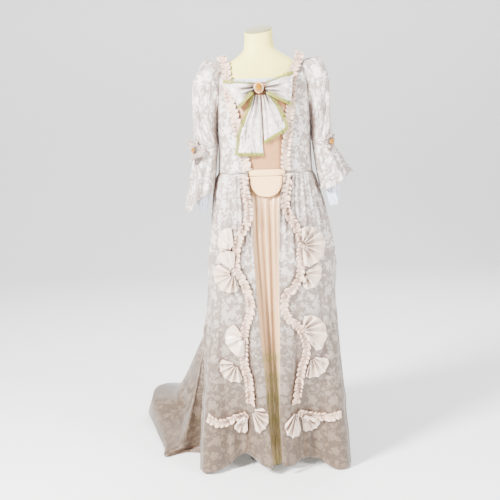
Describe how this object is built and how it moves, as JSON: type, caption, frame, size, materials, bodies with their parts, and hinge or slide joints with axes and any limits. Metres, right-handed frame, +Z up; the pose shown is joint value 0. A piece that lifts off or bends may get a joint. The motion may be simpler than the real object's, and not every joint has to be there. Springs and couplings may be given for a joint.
{
  "type": "robe a la francaise on a dress form",
  "caption": "Open robe with a sack back and train over a petticoat, elbow sleeves with flounces, a bow and ruffled trims, standing on a smooth limbless dress form.",
  "frame": {"origin": "centre of the underside of the stand's base, on the floor", "axes": "+Z up, the wearer faces -Y, +X is the wearer's left, the right of the picture"},
  "size_m": [0.8148, 1.1513, 1.5034],
  "materials": {
    "form": "smooth",
    "cap": "matt",
    "steel": "satin",
    "damask": "floral damask",
    "satin": "satin",
    "peach": "satin",
    "cream": "satin",
    "bow": "damask",
    "lime": "beaded edging",
    "lace": "lace",
    "gold": "satin",
    "amber": "clear amber"
  },
  "bodies": {
    "root": {"bodice_back_left": "damask", "bodice_back_right": "damask", "bodice_front_left": "damask", "bodice_front_right": "damask", "bow_knot": "bow", "bow_loop_left": "bow", "bow_loop_right": "bow", "bow_tail_left": "bow", "bow_tail_right": "bow", "brooch_setting": "gold", "brooch_stone": "amber", "edging_loop_left_low": "lime", "edging_loop_left_top": "lime", "edging_loop_right_low": "lime", "edging_loop_right_top": "lime", "edging_tail_left": "lime", "edging_tail_right": "lime", "elbow_bow_left": "peach", "elbow_bow_right": "peach", "elbow_gem_left": "amber", "elbow_gem_right": "amber", "fan_left_bell": "peach", "fan_left_hem": "peach", "fan_left_lower": "peach", "fan_left_middle": "peach", "fan_left_panel": "peach", "fan_left_top": "peach", "fan_left_upper": "peach", "fan_right_bell": "peach", "fan_right_hem": "peach", "fan_right_lower": "peach", "fan_right_panel": "peach", "fan_right_top": "peach", "fan_right_upper": "peach", "flounce_left": "damask", "flounce_right": "damask", "form_torso": "form", "hem_frill_left": "peach", "hem_frill_right": "peach", "lace_frill_left": "lace", "lace_frill_right": "lace", "neck_cap": "cap", "neck_lace": "lace", "petticoat": "satin", "robing_left": "peach", "robing_right": "peach", "sack_back": "damask", "serpentine_left": "peach", "serpentine_right": "peach", "skirt_left": "damask", "skirt_right": "damask", "sleeve_left": "damask", "sleeve_right": "damask", "stand": "steel", "stomacher": "satin", "stomacher_tab": "cream", "waist_band": "cream"}
  },
  "joints": []
}
